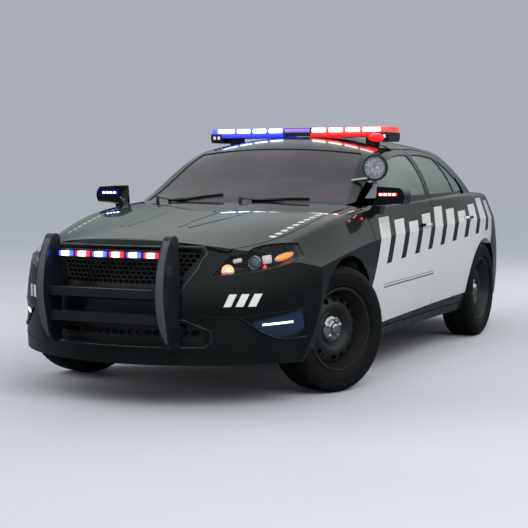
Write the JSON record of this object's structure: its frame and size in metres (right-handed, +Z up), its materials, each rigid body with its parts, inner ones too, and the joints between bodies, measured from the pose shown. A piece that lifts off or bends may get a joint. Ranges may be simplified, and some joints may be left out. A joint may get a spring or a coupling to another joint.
{
  "type": "police patrol car",
  "caption": "Four-door patrol saloon with push bumper, roof light bar and pillar spotlight; wheels roll and steer, doors, bonnet and boot lid open.",
  "frame": {"origin": "on the ground under the middle of the bounding box", "axes": "+X to the front, +Y to the left side, +Z up"},
  "size_m": [5.2921, 2.1806, 1.5676],
  "materials": {
    "black_paint": "gloss",
    "black_steel": "satin",
    "blue_lens": "gloss",
    "bright_chrome": "polished",
    "cast_metal": "rough",
    "clear_lens": "gloss",
    "dark_plastic": "matte",
    "exhaust_steel": "satin",
    "push_bar_coat": "satin",
    "red_lens": "gloss",
    "screen_glass": "gloss",
    "seat_cloth": "matte",
    "side_glass": "gloss",
    "tyre_rubber": "matte",
    "underbody": "matte",
    "white_paint": "gloss"
  },
  "bodies": {
    "body": {"body_shell": "black_paint", "corner_lamps": "clear_lens", "dashboard": "dark_plastic", "engine": "cast_metal", "exhaust": "exhaust_steel", "fixed_glass": "screen_glass", "floor_pan": "underbody", "front_bumper": "black_paint", "front_frame": "underbody", "front_suspension": "underbody", "front_wings": "black_paint", "fuel_tank": "underbody", "grilles": "dark_plastic", "headlamp_lenses": "clear_lens", "headlamps": "bright_chrome", "lightbar_base": "dark_plastic", "lightbar_blue": "blue_lens", "lightbar_red": "red_lens", "push_bumper": "push_bar_coat", "push_lamps_blue": "blue_lens", "push_lamps_red": "red_lens", "rear_bumper": "black_paint", "rear_suspension": "underbody", "seats": "seat_cloth", "spotlight": "bright_chrome", "tail_lamps": "red_lens", "wheel_wells": "dark_plastic", "wipers": "dark_plastic"},
    "door_front_left": {"door_front_left": "white_paint", "door_front_left_glass": "side_glass", "mirror_left": "black_paint"},
    "door_front_right": {"door_front_right": "white_paint", "door_front_right_glass": "side_glass", "mirror_right": "black_paint"},
    "door_rear_left": {"door_rear_left": "white_paint", "door_rear_left_glass": "side_glass"},
    "door_rear_right": {"door_rear_right": "white_paint", "door_rear_right_glass": "side_glass"},
    "bonnet": {"bonnet": "black_paint"},
    "boot_lid": {"boot_lid": "black_paint"},
    "knuckle_left": {"knuckle_left": "underbody"},
    "knuckle_right": {"knuckle_right": "underbody"},
    "steering_wheel": {"steering_wheel": "dark_plastic"},
    "wheel_front_left": {"cap_front_left": "bright_chrome", "rim_front_left": "black_steel", "tyre_front_left": "tyre_rubber"},
    "wheel_front_right": {"cap_front_right": "bright_chrome", "rim_front_right": "black_steel", "tyre_front_right": "tyre_rubber"},
    "wheel_rear_left": {"cap_rear_left": "bright_chrome", "rim_rear_left": "black_steel", "tyre_rear_left": "tyre_rubber"},
    "wheel_rear_right": {"cap_rear_right": "bright_chrome", "rim_rear_right": "black_steel", "tyre_rear_right": "tyre_rubber"}
  },
  "joints": [
    {"name": "steer_left", "type": "hinge", "parent": "body", "child": "knuckle_left", "pos_m": [1.49, 0.805, 0.363], "axis": [0, 0, 1], "range_deg": [-13, 57]},
    {"name": "spin_front_left", "type": "hinge", "parent": "knuckle_left", "child": "wheel_front_left", "pos_m": [1.49937, 0.82818, 0.363], "axis": [0.3746, 0.9272, 0], "continuous": true},
    {"name": "spin_rear_left", "type": "hinge", "parent": "body", "child": "wheel_rear_left", "pos_m": [-1.378, 0.83, 0.363], "axis": [0, 1, 0], "continuous": true},
    {"name": "open_door_front_left", "type": "hinge", "parent": "body", "child": "door_front_left", "pos_m": [1.02, 0.95, 0.85], "axis": [0, 0.061, -0.9981], "range_deg": [0, 68]},
    {"name": "open_door_rear_left", "type": "hinge", "parent": "body", "child": "door_rear_left", "pos_m": [-0.206, 0.95, 0.88], "axis": [0, 0.061, -0.9981], "range_deg": [0, 70]},
    {"name": "steer_right", "type": "hinge", "parent": "body", "child": "knuckle_right", "pos_m": [1.49, -0.805, 0.363], "axis": [0, 0, 1], "range_deg": [-13, 57]},
    {"name": "spin_front_right", "type": "hinge", "parent": "knuckle_right", "child": "wheel_front_right", "pos_m": [1.48063, -0.82818, 0.363], "axis": [0.3746, 0.9272, 0], "continuous": true},
    {"name": "spin_rear_right", "type": "hinge", "parent": "body", "child": "wheel_rear_right", "pos_m": [-1.378, -0.83, 0.363], "axis": [0, 1, 0], "continuous": true},
    {"name": "open_door_front_right", "type": "hinge", "parent": "body", "child": "door_front_right", "pos_m": [1.02, -0.95, 0.85], "axis": [0, 0.061, 0.9981], "range_deg": [0, 68]},
    {"name": "open_door_rear_right", "type": "hinge", "parent": "body", "child": "door_rear_right", "pos_m": [-0.206, -0.95, 0.88], "axis": [0, 0.061, 0.9981], "range_deg": [0, 70]},
    {"name": "open_bonnet", "type": "hinge", "parent": "body", "child": "bonnet", "pos_m": [1.006, 0, 1.062], "axis": [0, -1, 0], "range_deg": [0, 55]},
    {"name": "open_boot", "type": "hinge", "parent": "body", "child": "boot_lid", "pos_m": [-1.945, 0, 1.128], "axis": [0, 1, 0], "range_deg": [0, 80]},
    {"name": "turn_steering_wheel", "type": "hinge", "parent": "body", "child": "steering_wheel", "pos_m": [0.61, 0.37, 0.88], "axis": [-0.9135, 0, 0.4067], "range_deg": [-195, 855]}
  ],
  "couplings": [
    {"joint": "steer_right", "follows": "steer_left", "ratio": 1},
    {"joint": "turn_steering_wheel", "follows": "steer_left", "ratio": 15}
  ]
}
